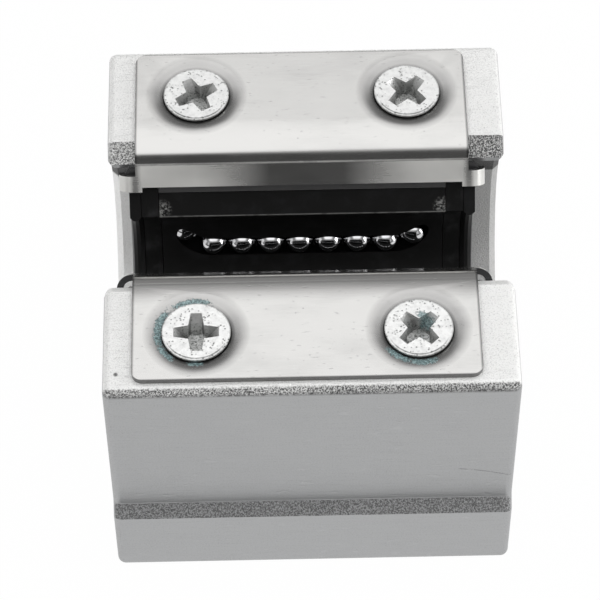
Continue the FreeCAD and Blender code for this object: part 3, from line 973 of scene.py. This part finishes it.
@dataclass
class Balls:
    """The balls of the three tracks."""

    workshop: Workshop
    tracks: tuple[str, ...] = ("back", "bottom", "front")
    cuts: int = 13

    def build(self) -> None:
        """Make a smooth ball for each loaded one and dress those that run back."""
        steel = BallSteel().material()
        nodes = self.workshop.frame["nodes"]
        loaded = {t: sorted(n for n in nodes if n.startswith(f"ball_{t}_")) for t in self.tracks}
        low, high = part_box(loaded[self.tracks[0]][0])
        pattern = self._turned_ball((high.x - low.x) / 2)
        for track in self.tracks:
            for node in loaded[track]:
                self.workshop.dress(self._set_ball(pattern, node), steel, "balls")
            returning = self.workshop.eased_copy(
                f"return_balls_{track}", f"running_back_{track}", 40.0
            )
            self.workshop.dress(returning, steel, "balls")
        bpy.data.meshes.remove(pattern)

    def _turned_ball(self, radius: float) -> bpy.types.Mesh:
        """Model the ball that the others are copied from.

        Args:
            radius: the ball's radius.

        Returns:
            Its mesh, centred on the origin.
        """
        bpy.ops.object.select_all(action="DESELECT")
        bpy.ops.mesh.primitive_cube_add(size=2 * radius)
        blank = bpy.context.object
        bpy.ops.object.mode_set(mode="EDIT")
        bpy.ops.mesh.select_all(action="SELECT")
        bpy.ops.mesh.subdivide(number_cuts=self.cuts)
        bpy.ops.transform.tosphere(value=1.0)
        bpy.ops.object.mode_set(mode="OBJECT")
        bpy.ops.object.shade_smooth()
        mesh = blank.data
        mesh.transform(Matrix.Scale(radius / mesh.vertices[0].co.length, 4))
        bpy.data.objects.remove(blank)
        return mesh

    def _set_ball(self, pattern: bpy.types.Mesh, node: str) -> bpy.types.Object:
        """Copy the ball into the place of a CAD node.

        Args:
            pattern: the modelled ball.
            node: the CAD node.

        Returns:
            The ball, its place in its mesh.
        """
        low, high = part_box(node)
        mesh = pattern.copy()
        mesh.transform(Matrix.Translation((low + high) / 2))
        piece = bpy.data.objects.new(node.replace("ball", "steel_ball"), mesh)
        bpy.context.scene.collection.objects.link(piece)
        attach(piece, self.workshop.body_of(node))
        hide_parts(node)
        return piece


# --- Studio ---------------------------------------------------------------------------------
@dataclass
class Lamp:
    """One soft rectangular lamp."""

    name: str
    place: tuple[float, float, float]
    size: tuple[float, float]
    level: float
    aim: tuple[float, float, float] = (0.0, 0.0, 0.012)

    def hang(self) -> None:
        """Add the lamp, aimed at the block, so that its face has the given level."""
        data = bpy.data.lights.new(self.name, "AREA")
        data.shape = "RECTANGLE"
        data.size, data.size_y = self.size
        data.energy = self.level * math.pi * self.size[0] * self.size[1]
        lamp = bpy.data.objects.new(self.name, data)
        lamp.location = self.place
        direction = Vector(self.aim) - Vector(self.place)
        lamp.rotation_euler = direction.to_track_quat("-Z", "Y").to_euler()
        bpy.context.scene.collection.objects.link(lamp)


@dataclass
class Studio:
    """Floor, soft light and camera."""

    lens: float = 177.3
    sensor: float = 36.0
    camera_place: Colour = (-2.3475 * MM, -140.8365 * MM, 210.7218 * MM)
    right: Colour = (0.99979048, -0.01970839, -0.00552951)
    upward: Colour = (0.01927726, 0.81571542, 0.57813211)
    back: Colour = (-0.00688355, -0.57811757, 0.81592444)
    paper: Colour = (0.9, 0.9, 0.9)
    floor_glow: float = 0.985
    near_edge: tuple[float, float] = (-1.05, -0.65)
    far_edge: tuple[float, float] = (1.08, 0.78)
    box_half: tuple[float, float] = (0.9, 0.5)
    gap_half: tuple[float, float] = (0.6, 1.0)
    world_low: float = 0.09
    world_mid: float = 0.42
    world_high: float = 1.95
    lamps: tuple[Lamp, ...] = (
        Lamp("card_left", (-0.30, -0.03, 0.085), (0.22, 0.17), 0.6),
        Lamp("card_right", (0.30, -0.03, 0.085), (0.22, 0.17), 3.4),
        Lamp("card_front_left", (-0.15, -0.235, 0.13), (0.14, 0.12), 0.6),
        Lamp("card_front_right", (0.15, -0.235, 0.13), (0.14, 0.12), 0.5),
    )

    def build(self) -> None:
        """Set up floor, backdrop, lamps and camera."""
        self._floor()
        self._world()
        for lamp in self.lamps:
            lamp.hang()
        self._camera()
        bpy.context.scene.view_settings.view_transform = "Standard"

    def _floor(self) -> None:
        """Pale floor that shows near white and keeps a soft shadow."""
        bpy.ops.object.select_all(action="DESELECT")
        bpy.ops.mesh.primitive_plane_add(size=6.0, location=(0.0, 0.0, -0.02 * MM))
        floor = bpy.context.object
        floor.name = "studio_floor"
        bench = Bench("studio_floor")
        paper = bench.node("ShaderNodeBsdfDiffuse", None, {"Color": (*self.paper, 1.0)}).signal()
        glow = bench.node("ShaderNodeEmission", None, {"Strength": 1.0}).signal()
        rays = bench.node("ShaderNodeLightPath")
        seen = rays.signal("Is Camera Ray").larger(rays.signal("Is Glossy Ray"))
        seen = seen.larger(rays.signal("Is Transmission Ray"))
        shares = {0: seen * self.floor_glow, 1: paper, 2: glow}
        mixed = bench.node("ShaderNodeMixShader", None, shares).signal()
        bench.node("ShaderNodeOutputMaterial", None, {"Surface": mixed})
        floor.data.materials.append(bench.material)

    def _world(self) -> None:
        """Soft box high behind the block, darker surroundings, and a dark gap straight in front."""
        bench = Bench("studio", sky=True)
        bpy.context.scene.world = bench.material
        x, y, z = bench.axes()
        lean, wide = y / z.larger(0.01), abs(x) / z.larger(0.01)
        above = lean.rise(*self.near_edge) * z.rise(0.08, 0.3)
        aside = (abs(x) / (0.0 - y).larger(0.05)).rise(*self.gap_half) * z.rise(0.02, 0.15)
        box = above * lean.rise(*self.far_edge) * wide.rise(*self.box_half)
        level = self.world_low + above.larger(aside) * (self.world_mid - self.world_low)
        level = level + box * (self.world_high - self.world_mid)
        light = bench.node("ShaderNodeBackground", None, {"Strength": level}).signal()
        white = bench.node("ShaderNodeBackground", None, {"Strength": 1.0}).signal()
        seen = bench.node("ShaderNodeLightPath").signal("Is Camera Ray")
        mixed = bench.node("ShaderNodeMixShader", None, {0: seen, 1: light, 2: white}).signal()
        bench.node("ShaderNodeOutputWorld", None, {"Surface": mixed})

    def _camera(self) -> None:
        """Long lens, high in front of the block."""
        data = bpy.data.cameras.new("camera")
        data.lens = self.lens
        data.sensor_width = self.sensor
        data.clip_start = 0.01
        data.clip_end = 20.0
        camera = bpy.data.objects.new("camera", data)
        turn = Matrix((self.right, self.upward, self.back)).transposed()
        camera.matrix_world = Matrix.Translation(self.camera_place) @ turn.to_4x4()
        bpy.context.scene.collection.objects.link(camera)
        bpy.context.scene.camera = camera


def main() -> None:
    """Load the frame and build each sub-assembly in order."""
    logging.basicConfig(level=logging.INFO, format="%(name)s %(message)s")
    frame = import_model()
    workshop = Workshop(frame)
    for assembly in (
        Casing(workshop), PlatesAndScrews(workshop), Bearing(workshop), Balls(workshop)
    ):
        assembly.build()
    Studio().build()
    LOG.info("%d pieces", len(workshop.pieces))


if __name__ == "__main__":
    main()
